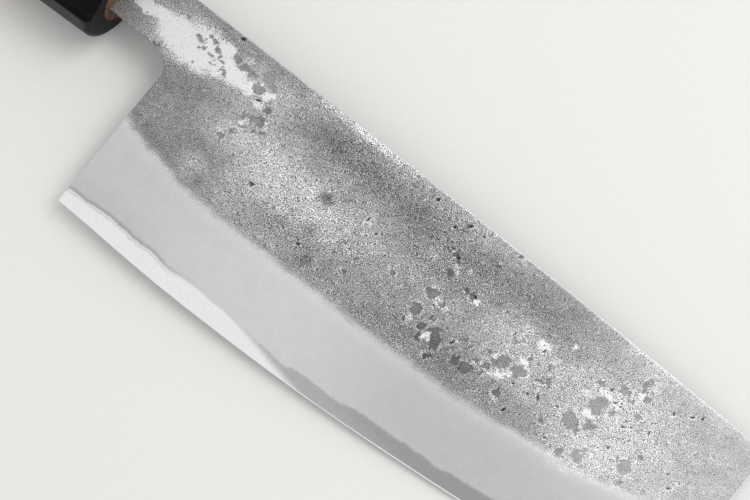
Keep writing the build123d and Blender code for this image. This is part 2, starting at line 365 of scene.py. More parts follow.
# %% Dark blots and pits on the right side
DARK_BLOTS = (
    (2, 48.8, 1.3, 1, -6, 90), (2.9, 48.4, 0.7, 1.1, 39, 85), (3.4, 46.8, 1.3, 0.9, 19, 90),
    (3.9, 49, 0.9, 1.3, 39, 80), (4.1, 50.8, 1.5, 1.3, -21, 85), (4.5, 43.6, 1, 0.6, -21, 100),
    (4.6, 48, 1.8, 1.3, 39, 90), (5.5, 41.8, 0.9, 0.6, 39, 50), (5.6, 50.3, 1.5, 1.5, 0, 85),
    (6.7, 47.3, 1.8, 1.1, -1, 80), (6.7, 49.5, 1.3, 2.2, 69, 90), (7.3, 51, 0.7, 0.4, 39, 50),
    (7.6, 43.6, 1.9, 0.4, 39, 80), (7.7, 46.9, 0.9, 0.9, 0, 80), (8, 46, 1.1, 0.9, -6, 80),
    (8.2, 48.6, 1, 2, 64, 90), (8.9, 45.9, 0.9, 0.7, 39, 80), (9.6, 47.8, 1, 1.3, 39, 90),
    (10.5, 47.2, 0.9, 1.3, 39, 90), (11.3, 46.2, 1.8, 1.8, 0, 90), (12, 48.7, 0.9, 0.7, 39, 40),
    (12, 50.4, 2, 2, 0, 65), (12.1, 45.6, 0.7, 0.7, 0, 80), (14, 49.7, 3.1, 1.5, 29, 80),
    (15.3, 50.2, 1.3, 1.3, 0, 70), (16.7, 47.1, 1.3, 0.4, 39, 60), (17.2, 50, 3.1, 1.8, 19, 60),
    (17.6, 45.8, 0.9, 0.6, 39, 60), (19.4, 20.4, 0.4, 0.9, 39, 50), (19.4, 23.8, 1.3, 1.1, 39, 30),
    (20.5, 51.5, 3.5, 2.9, 39, 45), (22.6, 23, 2, 2, 0, 22), (22.8, 50.3, 2.2, 2.2, 0, 45),
    (42.8, 20.1, 1.5, 0.4, -6, 70), (43.6, 27.9, 2.9, 2.6, 0, 24), (48.2, 38.1, 4, 2.4, 19, 30),
    (49.1, 38.5, 0.9, 0.9, 0, 30), (49.3, 30, 3.3, 3.3, 0, 20), (51.1, 22.5, 1.8, 1.3, 39, 22),
    (53.3, 24.1, 2.4, 2.2, 0, 32), (67.8, 50.2, 2.2, 1.3, 39, 16), (71.9, 53.6, 1.8, 1.1, 39, 16),
    (72.8, 52.5, 1.3, 0.9, 39, 16), (77.5, 52.5, 2, 1.3, 39, 16),
)
PITS = (
    (10.2, 55, 1.1, 0.7, 9), (21.8, 46.1, 1.3, 0.4, 39), (31.2, 38.7, 0.9, 0.3, 79),
    (32.7, 30, 0.8, 0.5, 39), (32.7, 30.2, 1.1, 0.7, 19), (49.7, 26, 0.7, 0.8, 0),
    (58.8, 40.7, 1.1, 0.4, 74), (59.6, 32.7, 0.7, 0.5, 39), (62.3, 39.2, 0.6, 0.4, 39),
    (68.5, 54.3, 0.8, 0.8, 0), (72.5, 41.6, 0.5, 0.5, 0), (75.5, 51.9, 0.7, 0.7, 0),
    (78.2, 54.2, 0.8, 0.6, 39), (79.5, 28, 0.4, 1.1, 39), (80.6, 46.8, 0.6, 0.6, 0),
    (81, 53.2, 0.4, 0.4, 0), (82.3, 54.3, 0.6, 0.6, 0), (83, 34.7, 0.5, 0.5, 0),
    (89.3, 42.2, 0.6, 0.7, 39), (91.6, 30.6, 1.3, 0.4, 59), (105.8, 31.1, 0.4, 0.4, 39),
    (108.4, 32.1, 0.7, 0.5, 39), (108.7, 43.4, 0.4, 0.4, 0), (109.4, 42.3, 0.5, 0.5, 0),
    (109.6, 42.7, 0.9, 0.4, 39), (110.6, 26.1, 1.1, 0.5, 69), (111.9, 49.5, 0.4, 0.3, 39),
    (112.7, 32.3, 0.4, 0.7, 39), (114.8, 33.5, 0.4, 1.3, 39), (115, 33.2, 0.5, 1.3, 39),
    (119.8, 34.3, 0.6, 0.5, 0), (119.8, 34.4, 0.4, 0.6, 39), (122, 27, 0.7, 0.6, 39),
    (127.2, 45.2, 0.6, 0.4, 39), (129.6, 43.3, 0.4, 0.4, 0), (129.8, 43.5, 0.9, 0.4, 39),
    (131.4, 43.5, 0.7, 0.3, 39), (131.4, 43.5, 0.7, 0.4, 39), (134.7, 40.3, 1.1, 0.4, 39),
    (134.9, 34.3, 0.7, 0.6, 39), (136.2, 41.3, 0.9, 0.4, 39), (137.7, 38.5, 0.6, 0.4, 39),
    (140.2, 43, 0.5, 1, 19), (141.9, 49.9, 0.6, 0.9, 39), (143.3, 41.1, 0.4, 0.4, 39),
    (145.7, 52, 0.9, 0.5, 39), (147.9, 53.3, 0.8, 0.5, 79), (149.4, 38.1, 0.6, 0.4, 39),
    (151.7, 35.7, 1.1, 0.5, 39), (153, 38.2, 0.6, 0.4, 39),
)
print(len(DARK_BLOTS), "dark blots and", len(PITS), "pits")

# %% [markdown]
# Last come wide areas that are a little paler or darker than the rest, with borders too soft to
# see. Their last number is in grey levels, out of 255. The skin pales towards the front.

# %% Soft tones of the skin and the bevel
SOFT_TONES = (
    (12, 33, 26, 26, 0, -10), (26, 41, 24, 11, -14, 20), (43, 35, 30, 11, -4, 26), (32, 30, 18, 8, 0, 18),
    (58, 37, 28, 6, 0, 6), (19.5, 25, 7, 6, 0, 22), (47, 55.4, 28, 1.8, 0, 38), (62, 50, 50, 8, 0, -14),
    (88, 26, 30, 9, 4, -18), (92, 39, 26, 12, 0, 4), (104, 37, 18, 14, 0, 8), (152, 52, 22, 6, 0, -12),
    (-12, 43, 16, 6, 0, -6), (2, 54, 30, 4, 0, -6), (36, 22.5, 22, 5, 0, 4), (80, 46, 44, 12, 0, -18),
    (114, 51, 46, 12, 0, -26), (23, 50, 14, 7, 0, 26), (10, 31, 12, 12, 0, 6), (20.5, 35.5, 13, 8, 0, 32),
    (47, 50, 18, 8, 0, -20), (112, 26, 22, 8, 0, -16), (131, 30, 10, 8, 0, 18), (150, 46, 22, 9, 0, -14),
    (60.5, 42, 14, 8, 0, 12), (82, 40.5, 16, 6, 0, -12), (100, 42.5, 13, 10, 0, 18), (30, 25, 10, 6, 0, 12),
    (48.4, 38.2, 3.6, 2.6, 19, -34), (0, 46.5, 28, 11, -6, 14),
)
# On the ground bevel these soft tones are a painted reflection: paler around the middle of the heel half,
# darker towards the front and low at the heel.
BEVEL_REFLECTION_TONES = ((52, 9, 58, 24, 0, 9), (106, 14, 66, 26, 0, -11), (12, 4, 26, 8, 0, -6))
TIP_PALER, PALER_FROM, PALER_TO = 0.15, 97.0, 132.0
print(len(SOFT_TONES), "soft tones on the skin and", len(BEVEL_REFLECTION_TONES), "on the bevel")

# %% [markdown]
# ## From marks to numbers on every vertex
# A fine grid carries the skin. For each of its vertices, each mark says how far inside it the
# vertex is, and noise bends that distance, so that no mark is a clean ellipse. The results are
# attributes that the material reads, and the same numbers sink or raise the surface.

# %% Noise, soft steps and the inside of a mark
def field(xs, ys, size, seed):
    """Smooth noise at each place, from about -1 to 1, with bumps of the size in millimetres."""
    return np.array([noise.noise(Vector((x / size, y / size, seed))) for x, y in zip(xs, ys)])


def fade(value, low, high):
    """0 below low, 1 above high, and smooth between."""
    t = np.clip((value - low) / (high - low), 0, 1)
    return t * t * (3 - 2 * t)


def mark_depth(xs, ys, mark):
    """Millimetres inside a mark's border, and less than zero outside it."""
    x, y, width, height, turn = mark
    cos, sin = math.cos(math.radians(turn)), math.sin(math.radians(turn))
    right, up = xs - x, ys - y
    share = 1 - np.hypot((right * cos + up * sin) / (width / 2), (up * cos - right * sin) / (height / 2))
    return share * min(width, height) / 2


print("the middle of a 4 mm mark is", mark_depth(0.0, 0.0, (0, 0, 4, 4, 0)), "mm inside it")

# %% [markdown]
# The speckle isn't equally strong everywhere: it is calmer near the heel, where the skin was
# rubbed, towards the front, and close to the spine.

# %% How strong the speckle is along the blade
HEEL_GRIT, MIDDLE_GRIT, TIP_GRIT, SPINE_GRIT = 0.54, 0.80, 0.36, 0.72
HEEL_CALM, MIDDLE_CALM, TIP_CALM, SPINE_CALM = (10.0, 50.0), (68.0, 104.0), (128.0, 164.0), (45.0, 51.0)


def skin_grit(xs, ys):
    """The speckle's strength at each place, from 0 to 1."""
    middle = fade(xs, *MIDDLE_CALM)
    grit = HEEL_GRIT + (1 - HEEL_GRIT) * fade(xs, *HEEL_CALM)
    grit = grit - (1 - MIDDLE_GRIT) * middle - (MIDDLE_GRIT - TIP_GRIT) * fade(xs, *TIP_CALM)
    return grit * (1 - (1 - SPINE_GRIT) * fade(ys, *SPINE_CALM) * middle)


print("speckle along the blade:", skin_grit(np.arange(0, 161, 40), 30.0).round(2))

# %% [markdown]
# Hard-edged marks take the strongest value that reaches a vertex, and soft tones add up. A
# large bright place has a softer border, and slow noise breaks a rim, as scale breaks.

# %% Put all marks together
BENDS = ((0.5, 2.1, 0), (0.9, 0.9, 5))
EDGES = {
    # how far inside its border, in millimetres, a mark starts and is full
    "flake": (-0.2, 0.3), "rim": (-1.0, -0.15), "dark": (-0.1, 0.25), "shade": (-0.8, 0.8),
    "pit": (-0.16, 0.12), "pit_rim": (-0.7, -0.2),
}
BRIGHT_FULL, SHADE_MOST, GREY_LEVELS = 90, 35, 255
SOFT_SHARE, SOFT_MORE, SOFT_LARGE = 0.3, 0.25, 3.0
PIT_BEND, PIT_HIGHLIGHT_RIM = 0.25, 0.9
BREAK_SIZE, BREAK_EDGES, RIM_LEFT = 2.4, (-0.15, 0.35), 0.35


def bright_edges(size):
    """The edges of a bright place: softer the larger it is."""
    soft = SOFT_SHARE * size + SOFT_MORE * max(0.0, size - SOFT_LARGE)
    return -1.1 * soft, 0.9 * soft


def skin_marks(xs, ys, marks, seed):
    """The attributes of the skin at each place, by name."""
    bent_x = xs + sum(reach * field(xs, ys, size, seed + step) for reach, size, step in BENDS)
    bent_y = ys + sum(reach * field(xs, ys, size, seed + 10 + step) for reach, size, step in BENDS)
    broken = fade(field(xs, ys, BREAK_SIZE, seed + 40), *BREAK_EDGES)
    flake, rim, pit, bright, dark, bevel = (np.zeros(len(xs)) for _ in range(6))
    tone = TIP_PALER * fade(xs, PALER_FROM, PALER_TO)
    for *place, strength in marks["flakes"]:
        depth = mark_depth(bent_x, bent_y, place)
        flake = np.maximum(flake, strength * fade(depth, *EDGES["flake"]))
        rim = np.maximum(rim, strength * fade(depth, *EDGES["rim"]))
    for *place, grey in marks["bright"]:
        depth = mark_depth(bent_x, bent_y, place)
        edges = bright_edges(min(place[2], place[3]))
        bright = np.maximum(bright, grey / BRIGHT_FULL * fade(depth, *edges))
    for *place, grey in marks["dark"]:
        depth = mark_depth(bent_x, bent_y, place)
        if grey > SHADE_MOST:
            dark = np.maximum(dark, grey / BRIGHT_FULL * fade(depth, *EDGES["dark"]))
        else:
            tone = tone - grey / GREY_LEVELS * fade(depth, *EDGES["shade"])
    for place in marks["pits"]:
        depth = mark_depth(xs + PIT_BEND * (bent_x - xs), ys + PIT_BEND * (bent_y - ys), place)
        pit = np.maximum(pit, fade(depth, *EDGES["pit"]))
        # Round each pit a pale rim is added, as a painted highlight.
        rim = np.maximum(rim, PIT_HIGHLIGHT_RIM * fade(depth, *EDGES["pit_rim"]))
    # Soft tones add up. Those on the bevel are a painted reflection.
    for tones, kind in ((tone, "soft"), (bevel, "bevel")):
        for *place, grey in marks[kind]:
            soft = fade(mark_depth(xs, ys, place), -place[3] * 0.3, place[3] * 0.35)
            tones += grey / GREY_LEVELS * soft
    rim = rim * (1 - flake) * (1 - pit) * (RIM_LEFT + (1 - RIM_LEFT) * broken)
    return {
        "flake": flake, "rim": rim, "pit": pit, "bright": bright, "dark": dark, "tone": tone,
        "bevel": bevel, "grit": skin_grit(xs, ys),
    }


print("a mark's border is bent by up to", sum(reach for reach, _, _ in BENDS), "mm")

# %% [markdown]
# The lists are in the ruler's millimetres, so each mark's place is sent to the blade before
# it is used. Its size is small enough to stay as it was read.

# %% Move the right side's marks to the blade
LISTS = {
    "flakes": FLAKE_BEDS, "pits": PITS, "bright": BRIGHT_SPOTS, "dark": DARK_BLOTS,
    "soft": SOFT_TONES, "bevel": BEVEL_REFLECTION_TONES,
}
right_marks = {
    kind: [(*seen_at(*mark[:2]), *mark[2:]) for mark in marks] for kind, marks in LISTS.items()
}
print("the first flake bed is at", [round(value, 1) for value in right_marks["flakes"][0][:2]], "mm")

# %% [markdown]
# The left side isn't in the photograph. It was forged, hammered and ground in the same way,
# so it gets marks of the same kinds and sizes, drawn by lot with a fixed seed.

# %% Marks on the left side
LEFT_SEED = 11
LEFT_FLAKES, LEFT_PITS, LEFT_BRIGHT, LEFT_SOFT = 70, 40, 24, 12
lots = random.Random(LEFT_SEED)


def drawn_place():
    """A place on the forged part of a side, drawn by lot."""
    x = lots.uniform(6, BLADE_LENGTH - 5)
    return x, lots.uniform(float(grind_up(x)) + 2, SPINE_HEIGHT - 2)


def drawn_mark(smallest, largest):
    """A mark's place, width, height and turn, drawn by lot."""
    size = lots.uniform(smallest, largest)
    return (*drawn_place(), size, size * lots.uniform(0.5, 1.0), lots.uniform(-90, 90))


left_marks = {
    "flakes": [(*drawn_mark(1.0, 4.0), lots.uniform(0.5, 0.9)) for _ in range(LEFT_FLAKES)],
    "pits": [drawn_mark(0.4, 1.1) for _ in range(LEFT_PITS)],
    "bright": [(*drawn_mark(1.0, 4.0), lots.uniform(30, 75)) for _ in range(LEFT_BRIGHT)],
    "dark": [(8.0, 47.0, 4.0, 1.6, 40, 80), (3.0, 46.0, 3.0, 1.4, -30, 70)],
    "soft": [(*drawn_mark(12, 34), lots.uniform(-12, 24)) for _ in range(LEFT_SOFT)],
    # The bevel gets the same painted reflection: paler in the middle, darker towards the front.
    "bevel": [(55, 9, 60, 24, 0, 6), (125, 14, 60, 26, 0, -8)],
}
left_marks["bright"] += [(-6.0, 47.5, 16.0, 4.0, -6, 85), (7.0, 46.0, 14.0, 5.0, -8, 80)]
print("left side:", len(left_marks["flakes"]), "flake beds and", len(left_marks["pits"]), "pits")

# %% [markdown]
# ## The two iron sides
# Each side is one closed piece. It could be a copy of the CAD solid, but large triangles take
# no relief. So a grid operator makes the outer face, and its vertices are moved to the blade's
# outline. The borders depend on each other, so a few rounds bring them together.

# %% Fit a grid to the outline
COLUMNS, ROWS = 480, 150
STRIP_DOWN = 0.9
JAGS = ((0.22, 1.3, 8.0), (0.12, 0.5, 9.0))
BACK_ROUNDS, FRONT_ROUNDS = 5, 6


def lower_border(x):
    """Height of the iron's lower border over x: a little below the seam's dark line."""
    x = np.clip(x, 0, BLADE_LENGTH)
    jagged = sum(reach * field(x, 0 * x, size, seed) for reach, size, seed in JAGS)
    return seam_up(x) - STRIP_DOWN + jagged


def border_x(border, x, t, rounds):
    """x of a border at the share t of the way from the lower border up to the spine."""
    for _ in range(rounds):
        low = lower_border(x)
        x = border(low + t * (spine_up(x) - low))
    return x


def place_grid(skin):
    """Moves the vertices of a unit grid to the blade's outline."""
    s, t = (np.array([vertex.co[axis] + 0.5 for vertex in skin.verts]) for axis in (0, 1))
    back = border_x(heel_line, np.zeros(len(s)), t, BACK_ROUNDS)
    front = border_x(front_line, back, t, FRONT_ROUNDS)
    x = back + s * (front - back)
    y = lower_border(x) + t * (spine_up(x) - lower_border(x))
    for vertex, *place in zip(skin.verts, x, y):
        vertex.co = (*place, 0)


print("the grid has", COLUMNS * ROWS, "squares")

# %% [markdown]
# The neck continues the upper part of the back border, so that part is extruded step by step
# to the neck's end, and each step keeps its share of the height between neck base and spine.

# %% Pull out the neck
NECK_STEPS = 34
GRAB_BELOW, GRAB_AHEAD = 0.02, 0.05


def extrude_neck(skin):
    """Pulls the upper part of the back border out to the end of the neck."""
    lowest, furthest = NECK_BASE - GRAB_BELOW, HEEL_LEAN - HEEL_FILLET + GRAB_AHEAD
    border = [
        edge for edge in skin.edges
        if edge.is_boundary and all(end.co.y > lowest and end.co.x < furthest for end in edge.verts)
    ]
    start = min(vertex.co.x for edge in border for vertex in edge.verts)
    for step in range(1, NECK_STEPS + 1):
        made = bmesh.ops.extrude_edge_only(skin, edges=border)["geom"]
        moved = {item for item in made if isinstance(item, bmesh.types.BMVert)}
        border = [
            item for item in made
            if isinstance(item, bmesh.types.BMEdge) and all(vertex in moved for vertex in item.verts)
        ]
        x = start + (-NECK_LENGTH - start) * step / NECK_STEPS
        for vertex in moved:
            share = max(0.0, (vertex.co.y - NECK_BASE) / (float(spine_up(vertex.co.x)) - NECK_BASE))
            vertex.co = (x, NECK_BASE + share * (float(spine_up(x)) - NECK_BASE), 0)


print("the neck is drawn out in steps of", round(NECK_LENGTH / NECK_STEPS, 2), "mm")

# %% [markdown]
# A displacement in the material would not reach the exported mesh, so the relief is put in the
# vertices: hammer waves, sunk flake beds and pits, and raised rims. Spine, front and heel are
# eased, as a smith breaks sharp borders. At the seam the iron stays a hair above the steel, so
# that the two faces never fight for the same place.

# %% Heights of the skin
WAVES = ((0.022, 9.0, 20), (0.010, 2.2, 25), (0.005, 0.8, 30))
FLAKE_DEPTH, PIT_DEPTH, RIM_RISE = 0.04, 0.10, 0.015
RELIEF_FROM, RELIEF_TO = -0.6, 1.2
SEAM_PROUD, SEAM_FADE = 0.006, 0.08
SPINE_EASE, SPINE_DROP = 0.34, 0.16
FRONT_EASE, FRONT_DROP = 1.3, 0.3
BACK_EASE, BACK_DROP = 0.3, 0.08
FAR_ABOVE = 30.0


def back_distance(xs, ys):
    """Millimetres from the heel's border, and far for the neck, which has none."""
    heel = xs - heel_line(np.minimum(ys, NECK_BASE))
    return np.where(ys < NECK_BASE - 0.01, heel, FAR_ABOVE)


def skin_heights(xs, ys, drawn, seed):
    """Height of the skin over the blade's middle plane, with its relief and eased borders."""
    relief = sum(rise * field(xs, ys, size, seed + step) for rise, size, step in WAVES)
    relief += RIM_RISE * drawn["rim"] - FLAKE_DEPTH * drawn["flake"] - PIT_DEPTH * drawn["pit"]
    ground = ground_side(xs, ys)
    over_core = ground - CORE_SHARE * half_thickness(xs)
    heights = ground + fade(drawn["above_grind"], RELIEF_FROM, RELIEF_TO) * relief
    heights += SEAM_PROUD * (1 - fade(over_core, 0, SEAM_FADE))
    forged = fade(drawn["above_grind"], -1, 0)
    for distance, ease, drop in (
        (spine_up(xs) - ys, SPINE_EASE, SPINE_DROP),
        (front_line(ys) - xs, FRONT_EASE, FRONT_DROP),
        (back_distance(xs, ys), BACK_EASE, BACK_DROP * forged),
    ):
        heights -= drop * (1 - np.clip(distance / ease, 0, 1))
    return heights


print("hammer waves rise by up to", WAVES[0][0], "mm, and pits are", PIT_DEPTH, "mm deep")

# %% [markdown]
# The same distances say where the skin is worn bright: along the spine, where the brightness
# is partly a painted highlight on the eased edge, a little along the heel, and on the front.

# %% Everything the material reads
# The piece's walls, along the spine, the neck's underside and the other borders, get a painted shade: their
# tone is set darker than the skin's.
WALL_PAINTED_SHADE = -0.28


def skin_values(xs, ys, marks, seed):
    """All attributes of the skin, by name."""
    drawn = skin_marks(xs, ys, marks, seed)
    on_lines = np.clip(xs, 0, BLADE_LENGTH)
    drawn["above_grind"] = ys - grind_seen_up(on_lines)
    drawn["above_seam"] = ys - seam_up(on_lines)
    # Along the spine the worn band is partly a painted highlight.
    at_spine = 1 - fade(spine_up(xs) - ys, 0.03, 0.24)
    at_back = 0.3 * (1 - fade(back_distance(xs, ys), 0.1, 0.4))
    drawn["worn_and_highlight"] = np.maximum(at_spine, at_back)
    at_front = 1 - fade(front_line(ys) - xs, 0.9, 1.4)
    drawn["bright"] = np.maximum(drawn["bright"], at_front)
    return drawn


def keep_values(mesh, drawn):
    """Writes the values on the skin's vertices, which come first. The walls get resting ones, with a painted
    shade for their tone.
    """
    rest = {"above_grind": FAR_ABOVE, "above_seam": FAR_ABOVE, "tone": WALL_PAINTED_SHADE}
    for name, values in drawn.items():
        full = np.full(len(mesh.vertices), rest.get(name, 0.0), np.float32)
        full[: len(values)] = values
        mesh.attributes.new(name, "FLOAT", "POINT").data.foreach_set("value", full)


print("walls of the piece are", -WALL_PAINTED_SHADE, "darker than its skin")

# %% [markdown]
# Last, the border is extruded down to the steel core and closed, so the piece is as solid as
# the CAD node it stands for. The left side is the same shape turned over, which turns its
# faces inside out, so the normals are worked out again.

# %% Make both iron sides
BORDER_STRIP = 0.02


def close_down(skin):
    """Extrudes the border down to the steel core and closes the underside."""
    border = [edge for edge in skin.edges if edge.is_boundary]
    for vertex in bmesh.ops.extrude_edge_only(skin, edges=border)["geom"]:
        if isinstance(vertex, bmesh.types.BMVert):
            core = CORE_SHARE * float(half_thickness(vertex.co.x))
            vertex.co.z = min(core, vertex.co.z - SEAM_PROUD)
    bmesh.ops.edgeloop_fill(skin, edges=[edge for edge in skin.edges if edge.is_boundary])
    return len(border)


def iron_side(name, marks, side, seed):
    """One soft iron side of the blade, with its forged skin and its bevel."""
    skin = bmesh.new()
    bmesh.ops.create_grid(skin, x_segments=COLUMNS, y_segments=ROWS, size=0.5)
    place_grid(skin)
    extrude_neck(skin)
    bmesh.ops.inset_region(
        skin, faces=skin.faces, thickness=BORDER_STRIP, use_boundary=True, use_even_offset=True
    )
    xs, ys = (np.array([vertex.co[axis] for vertex in skin.verts]) for axis in (0, 1))
    drawn = skin_values(xs, ys, marks, seed)
    for vertex, height in zip(skin.verts, skin_heights(xs, ys, drawn, seed)):
        vertex.co.z = height
    skin_count = len(skin.verts)
    border_count = close_down(skin)
    bmesh.ops.scale(skin, vec=(1, 1, side), verts=skin.verts)
    bmesh.ops.recalc_face_normals(skin, faces=skin.faces)
    bmesh.ops.transform(skin, matrix=blade_place, verts=skin.verts)
    mesh = bpy.data.meshes.new(name)
    skin.to_mesh(mesh)
    skin.free()
    keep_values(mesh, drawn)
    for face in mesh.polygons:
        face.use_smooth = max(face.vertices) < skin_count
    piece = bpy.data.objects.new(name, mesh)
    bpy.context.scene.collection.objects.link(piece)
    triangles = sum(len(face.vertices) - 2 for face in mesh.polygons)
    print(name, "has", triangles, "triangles and", border_count, "edges round its border")
    return piece


right_iron = iron_side("right_iron_side", right_marks, 1, 3.0)
left_iron = iron_side("left_iron_side", left_marks, -1, 47.0)

# %% [markdown]
# ## Colours and nodes
# Colours are written as sRGB hex values, as a paint chart gives them, and turned to linear
# light by one function. One more function adds any shader node with its settings and links.
# Where a node is given as an input, its first output in use is linked.

# %% Helpers for materials
def linear(hex_colour):
    """Linear colour with alpha, from an sRGB hex value such as 808080."""
    channels = [int(hex_colour[i : i + 2], 16) / 255 for i in (0, 2, 4)]
    return [c / 12.92 if c <= 0.04045 else ((c + 0.055) / 1.055) ** 2.4 for c in channels] + [1.0]


def add(tree, kind, inputs=None, **settings):
    """Adds one node. inputs gives each socket a value, a node or one output of a node."""
    node = tree.nodes.new("ShaderNode" + kind)
    for name, value in settings.items():
        setattr(node, name, value)
    for socket, value in (inputs or {}).items():
        if isinstance(value, bpy.types.Node):
            value = next(output for output in value.outputs if output.enabled)
        if isinstance(value, bpy.types.NodeSocket):
            tree.links.new(value, node.inputs[socket])
        else:
            node.inputs[socket].default_value = value
    return node


def new_material(name):
    """An empty material, its tree, and the place that its patterns start from."""
    material = bpy.data.materials.new(name)
    material.use_nodes = True
    material.node_tree.nodes.clear()
    place = add(material.node_tree, "TexCoord").outputs["Object"]
    return material, material.node_tree, place


def dress(name, material):
    """Gives a node of the CAD model its material."""
    mesh = nodes[name].data
    mesh.materials.clear()
    mesh.materials.append(material)
    print(material.name, "has", len(material.node_tree.nodes), "nodes, on", len(mesh.polygons), "faces")


print("white paper is", [round(value, 3) for value in linear("F4F4F0")[:3]], "in linear light")

# %% [markdown]
# A noise pattern has bumps of about one unit, so its scale follows from the real size of what
# it draws. Its values crowd round the middle, so only that part is used. Three settings come
# back often: a product added to a number, a step with smooth ends, and a mix of two colours.

# %% Scales and settings that repeat
MOST_NOISE = {"From Min": 0.3, "From Max": 0.7}
SUM = {"operation": "MULTIPLY_ADD"}
STEP = {"interpolation_type": "SMOOTHSTEP"}
COLOURS = {"data_type": "RGBA"}


def per_mm(size):
    """The texture scale whose bumps are about this size in millimetres."""
    return 1 / (size * MM)


print("bumps of 0.5 mm need a scale of", round(per_mm(0.5)))

# %% [markdown]
# The blade's metals are neutral. Their tones are worked out as greys as the eye sees them, from
# 0 to 1, so that they can be compared with the photograph, and turned to linear light last.

# %% Turn a grey into a metal's colour
EYE_GAMMA = 2.2
DARKEST, BRIGHTEST = 0.06, 0.99


def grey_metal(tree, tone):
    """A neutral colour from a grey given as the eye sees it."""
    kept = add(tree, "Clamp", {"Value": tone, "Min": DARKEST, "Max": BRIGHTEST})
    light = add(tree, "Math", {0: kept, 1: EYE_GAMMA}, operation="POWER")
    return add(tree, "CombineColor", {0: light, 1: light, 2: light})


print("a grey of 0.5 to the eye is", round(0.5**EYE_GAMMA, 3), "in linear light")

# %% [markdown]
# The bare steel's tone is a painted reflection: nearly white at the heel, where the polished
# steel mirrors the light, grey in the middle, along a slanting border, and a little darker
# towards the front. The thin iron over it takes the same painted reflection.
# Places along the knife are in metres, as the frame is.

# %% The painted reflection on the bare steel
BRIGHT_REFLECTION_GREY, DIM_REFLECTION_GREY, DIM_MORE = 0.985, 0.735, 0.085
DIM_FROM, DIM_TO, DIM_MORE_TO = 0.0555, 0.0670, 0.115
DIM_SLANT, DIM_PLACE = 4.75, 60.0
dim_shift = DIM_SLANT * (blade_place @ Vector((DIM_PLACE, float(edge_up(DIM_PLACE)), 0))).y


def painted_steel_reflection(tree, place):
    """The core's grey with its painted reflection: bright at the heel and greyer at the tip, with a slanted
    border.
    """
    axes = add(tree, "SeparateXYZ", {0: place})
    slanted = add(tree, "Math", {0: axes.outputs[1], 1: DIM_SLANT, 2: axes.outputs[0]}, **SUM)
    grey, more = (
        add(
            tree, "MapRange",
            {"Value": slanted, "From Min": start + dim_shift, "From Max": end + dim_shift,
             "To Min": below, "To Max": above}, **STEP,
        )
        for start, end, below, above in (
            (DIM_FROM, DIM_TO, BRIGHT_REFLECTION_GREY, DIM_REFLECTION_GREY), (DIM_TO, DIM_MORE_TO, 0.0, DIM_MORE),
        )
    )
    return add(tree, "Math", {0: grey, 1: more}, operation="SUBTRACT")


print("the border between bright and grey steel leans by", DIM_SLANT, "along for 1 across")

# %% [markdown]
# ## Forged and ground soft iron
# The skin was hammered hot, so scale is pressed into it: a grey, salt-and-pepper surface that
# scatters light. The bevel was ground on a fine wheel, so it is paler, even and smoother. Grain
# and clots make the speckle, mottle is the uneven fire, and zone is what the hammer left from
# one heat to the next. The real grain is under 0.1 mm, so it is drawn coarser, at 0.2 mm.

# %% Patterns and marks of the iron
PATTERNS = {
    # size in mm, detail, roughness, lowest and highest value
    "grain": (0.20, 0.0, 0.5, -1.15, 1.15),
    "clots": (0.42, 2.0, 0.6, -1.0, 1.0),
    "mottle": (3.0, 4.0, 0.6, -1.0, 1.0),
    "zone": (11.0, 3.0, 0.55, 0.0, 1.0),
}
NOISE_LOW, NOISE_HIGH = 0.32, 0.68
CLOTS_IN_SPECKLE = 0.12
MARKS = (
    "flake", "rim", "pit", "bright", "dark", "tone", "bevel", "grit", "worn_and_highlight", "above_grind", "above_seam",
)
iron, tree, place = new_material("forged_and_ground_soft_iron")
pattern = {}
for name, (size, detail, rough, low, high) in PATTERNS.items():
    bumps = add(
        tree, "TexNoise", {"Vector": place, "Scale": per_mm(size), "Detail": detail, "Roughness": rough},
    )
    pattern[name] = add(
        tree, "MapRange",
        {"Value": bumps, "From Min": NOISE_LOW, "From Max": NOISE_HIGH, "To Min": low, "To Max": high},
        clamp=False,
    )
mark = {name: add(tree, "Attribute", attribute_name=name).outputs["Fac"] for name in MARKS}
speckle = add(tree, "Math", {0: pattern["clots"], 1: CLOTS_IN_SPECKLE, 2: pattern["grain"]}, **SUM)
print("the iron has", len(pattern), "patterns and", len(mark), "marks")

# %% [markdown]
# The plain skin is a grey with slow changes. The speckle on it is stronger where the skin is
# pale, because there bright metal shows between the scale.

# %% Tone of the plain forged skin
FORGED_GREY = 0.565
LEAST_SPECKLE = 0.14
RIM_HIGHLIGHT_ADDS = 0.24
zone = add(tree, "MapRange", {"Value": pattern["zone"], "From Min": 0.1, "From Max": 0.9}, **STEP)
base_tone = FORGED_GREY - 0.02
for part, share in ((zone, 0.04), (pattern["mottle"], 0.03), (mark["tone"], 1.0)):
    base_tone = add(tree, "Math", {0: part, 1: share, 2: base_tone}, **SUM)
pale = add(tree, "MapRange", {"Value": mark["tone"], "From Min": -0.02, "From Max": 0.12}, **STEP)
contrast = LEAST_SPECKLE
for part, share in ((zone, 0.04), (pale, 0.08)):
    contrast = add(tree, "Math", {0: part, 1: share, 2: contrast}, **SUM)
contrast = add(tree, "Math", {0: mark["grit"], 1: contrast}, operation="MULTIPLY")
skin_tone = add(tree, "Math", {0: speckle, 1: contrast, 2: base_tone}, **SUM)
# The rims of flake beds and pits are painted paler: partly the broken scale's own pale edge, partly a painted
# highlight.
rim = add(tree, "Math", {0: speckle, 1: 0.5, 2: mark["rim"]}, **SUM)
rim = add(tree, "MapRange", {"Value": rim, "From Min": 0.4, "From Max": 1.3}, **STEP)
skin_tone = add(tree, "Math", {0: rim, 1: RIM_HIGHLIGHT_ADDS, 2: skin_tone}, **SUM)
print("the plain skin takes", len(tree.nodes), "nodes so far")
